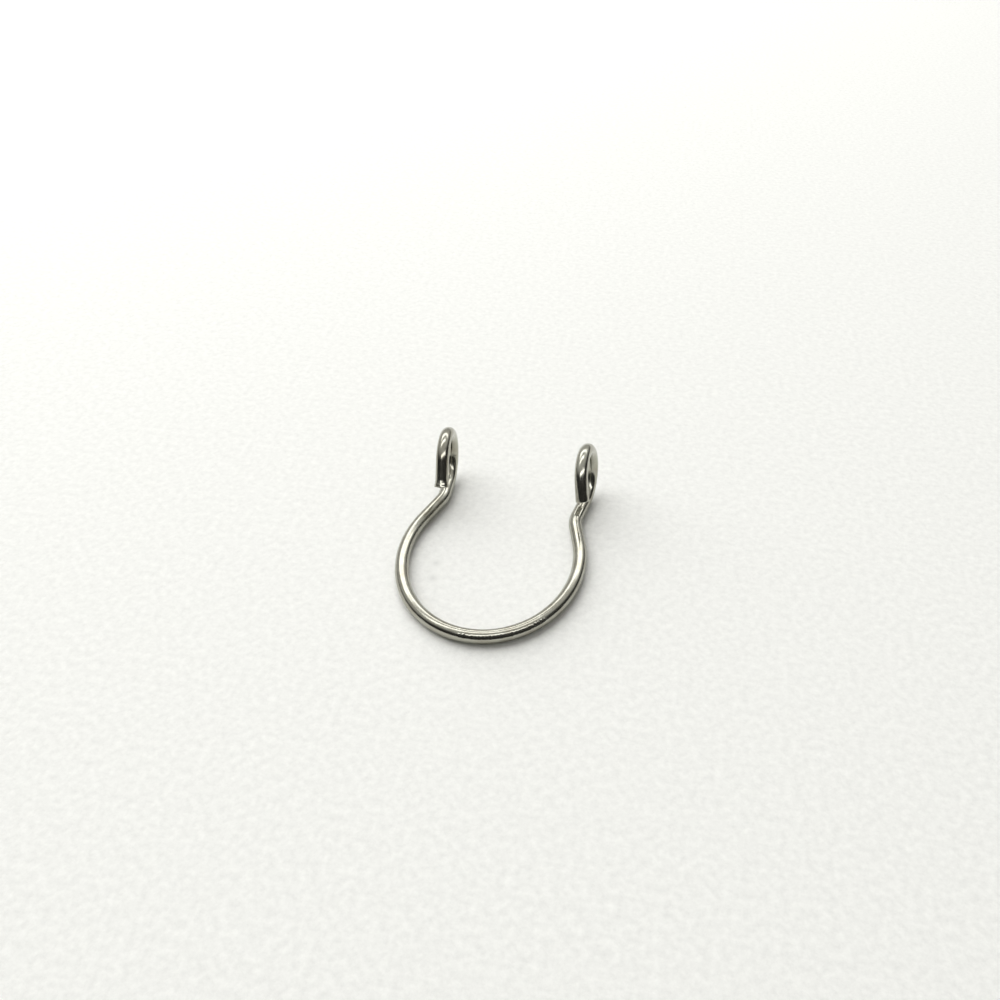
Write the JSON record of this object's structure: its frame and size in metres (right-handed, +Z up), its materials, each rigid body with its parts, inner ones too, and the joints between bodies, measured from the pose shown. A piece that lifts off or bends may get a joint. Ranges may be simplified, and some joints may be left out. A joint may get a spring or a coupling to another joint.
{
  "type": "fake septum ring",
  "caption": "Clip-on nose ring bent from one round wire: a horseshoe hoop whose ends turn up and back into small upright eyes.",
  "frame": {"origin": "on the ground that the ring lies on, below the middle of its whole outline", "axes": "-Y towards the front of the hoop, +Y towards the eyes, +Z up out of the hoop's plane, the way the eyes stand"},
  "size_m": [0.011, 0.0152, 0.0044],
  "materials": {
    "polished_steel": "drawn and polished stainless steel wire, with faint lines along it"
  },
  "bodies": {
    "root": {"septum_wire": "polished_steel"}
  },
  "joints": []
}
